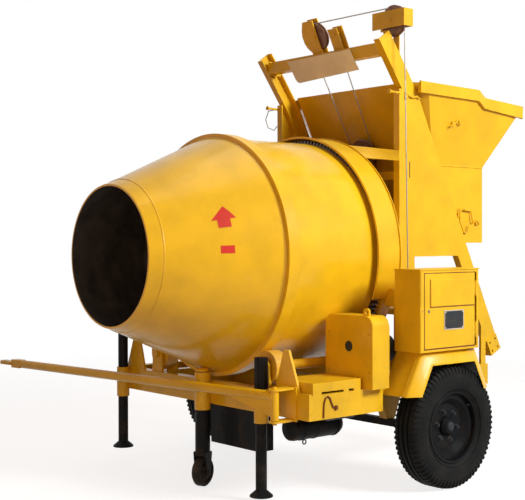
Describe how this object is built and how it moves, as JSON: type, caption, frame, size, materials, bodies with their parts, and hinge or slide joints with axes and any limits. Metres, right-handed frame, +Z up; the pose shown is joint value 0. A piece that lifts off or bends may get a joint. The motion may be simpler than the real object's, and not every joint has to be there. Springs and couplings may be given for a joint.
{
  "type": "portable concrete mixer",
  "caption": "Towable reversing-drum concrete mixer with a rope-hoisted feed skip on inclined rails, geared drum drive, control cabinet, towbar and screw legs.",
  "frame": {"origin": "middle of the footprint box on the ground", "axes": "+X towards the discharge mouth along the drum axis, +Y to the control-cabinet side, +Z up"},
  "size_m": [3.0764, 2.9134, 3.009],
  "materials": {
    "drum_yellow": "gloss",
    "yellow_paint": "gloss",
    "drum_inside": "matte",
    "machined_steel": "satin",
    "cast_gear": "satin",
    "dark_paint": "satin",
    "black_paint": "gloss",
    "tyre_rubber": "matte",
    "solid_rubber": "matte"
  },
  "bodies": {
    "chassis": {"chassis_frame": "yellow_paint", "axle_beam": "black_paint", "fenders": "yellow_paint", "control_box": "yellow_paint", "lower_rails": "yellow_paint", "tower_posts": "yellow_paint", "side_plates": "yellow_paint", "cross_tubes": "yellow_paint", "mast_arms": "yellow_paint", "crossbar": "yellow_paint", "sheave_blocks": "yellow_paint", "feed_chute": "yellow_paint", "gear_guard": "yellow_paint", "drive_cover": "yellow_paint", "drive_tray": "yellow_paint", "mixing_motor": "dark_paint", "roller_brackets": "yellow_paint", "hoist_winch": "dark_paint", "water_pump": "dark_paint", "tool_box": "black_paint", "front_brackets": "yellow_paint"},
    "drum": {"drum_shell": "drum_yellow", "race_rings": "machined_steel", "mixing_blades": "drum_inside", "ring_gear": "cast_gear"},
    "pinion": {"drive_pinion": "machined_steel"},
    "rollers_left_body": {"rollers_left": "machined_steel"},
    "rollers_right_body": {"rollers_right": "machined_steel"},
    "wheel_left": {"tyre_left": "tyre_rubber", "rim_left": "black_paint"},
    "wheel_right": {"tyre_right": "tyre_rubber", "rim_right": "black_paint"},
    "jockey_swivel": {"jockey_column": "black_paint"},
    "jockey_roller": {"jockey_wheel": "solid_rubber"},
    "towbar": {"drawbar": "yellow_paint"},
    "support_leg_left": {"leg_left": "black_paint"},
    "support_leg_right": {"leg_right": "black_paint"},
    "cabinet_door": {"control_door": "yellow_paint"},
    "skip": {"skip_bucket": "yellow_paint", "skip_carriage": "machined_steel"},
    "gate": {"skip_gate": "yellow_paint"},
    "skip_pulley": {"skip_sheave": "machined_steel"},
    "head_pulley": {"head_sheave": "machined_steel"},
    "side_pulley": {"side_sheave": "machined_steel"}
  },
  "joints": [
    {"name": "drum_spin", "type": "hinge", "parent": "chassis", "child": "drum", "pos_m": [0.70424, 0.31069, 1.416], "axis": [1, 0, 0], "continuous": true},
    {"name": "pinion_spin", "type": "hinge", "parent": "chassis", "child": "pinion", "pos_m": [0.03024, 0.9905, 0.95746], "axis": [1, 0, 0], "continuous": true},
    {"name": "rollers_left_spin", "type": "hinge", "parent": "chassis", "child": "rollers_left_body", "pos_m": [0.30424, 0.85369, 0.76426], "axis": [1, 0, 0], "continuous": true},
    {"name": "rollers_right_spin", "type": "hinge", "parent": "chassis", "child": "rollers_right_body", "pos_m": [0.30424, -0.23232, 0.76426], "axis": [1, 0, 0], "continuous": true},
    {"name": "wheel_left_spin", "type": "hinge", "parent": "chassis", "child": "wheel_left", "pos_m": [-0.19576, 1.35669, 0.375], "axis": [0, 1, 0], "continuous": true},
    {"name": "wheel_right_spin", "type": "hinge", "parent": "chassis", "child": "wheel_right", "pos_m": [-0.19576, -0.73531, 0.375], "axis": [0, 1, 0], "continuous": true},
    {"name": "jockey_swivel_turn", "type": "hinge", "parent": "chassis", "child": "jockey_swivel", "pos_m": [0.90224, 0.36869, 0.501], "axis": [0, 0, 1], "continuous": true},
    {"name": "jockey_wheel_spin", "type": "hinge", "parent": "jockey_swivel", "child": "jockey_roller", "pos_m": [0.90224, 0.36869, 0.09], "axis": [-0.342, 0.9397, 0], "continuous": true},
    {"name": "towbar_swing", "type": "hinge", "parent": "chassis", "child": "towbar", "pos_m": [0.97424, 1.13069, 0.64], "axis": [0, 0, 1], "range_deg": [0, 63]},
    {"name": "leg_left_slide", "type": "slide", "parent": "chassis", "child": "support_leg_left", "axis": [0, 0, 1], "range_m": [-0.029, 0.12]},
    {"name": "leg_right_slide", "type": "slide", "parent": "chassis", "child": "support_leg_right", "axis": [0, 0, 1], "range_m": [-0.11, 0.15]},
    {"name": "door_hinge", "type": "hinge", "parent": "chassis", "child": "cabinet_door", "pos_m": [-0.37676, 1.44969, 1], "axis": [0, 0, 1], "range_deg": [0, 110]},
    {"name": "skip_hoist", "type": "slide", "parent": "chassis", "child": "skip", "axis": [0.4462, 0, 0.8949], "range_m": [-0.8, 0]},
    {"name": "gate_hinge", "type": "hinge", "parent": "skip", "child": "gate", "pos_m": [-0.78566, 0.31069, 1.74445], "axis": [0, -1, 0], "range_deg": [0, 25]},
    {"name": "skip_pulley_spin", "type": "hinge", "parent": "skip", "child": "skip_pulley", "pos_m": [-0.55983, 0.31569, 2.11], "axis": [-0.8949, 0, 0.4462], "continuous": true},
    {"name": "head_pulley_spin", "type": "hinge", "parent": "chassis", "child": "head_pulley", "pos_m": [-0.12911, 0.28969, 2.882], "axis": [-0.8949, 0, 0.4462], "continuous": true},
    {"name": "side_pulley_spin", "type": "hinge", "parent": "chassis", "child": "side_pulley", "pos_m": [-0.23776, 0.90069, 2.909], "axis": [1, 0, 0], "continuous": true}
  ],
  "couplings": [
    {"joint": "pinion_spin", "follows": "drum_spin", "ratio": -9.25},
    {"joint": "rollers_left_spin", "follows": "drum_spin", "ratio": -7.8333},
    {"joint": "rollers_right_spin", "follows": "drum_spin", "ratio": -7.8333}
  ]
}
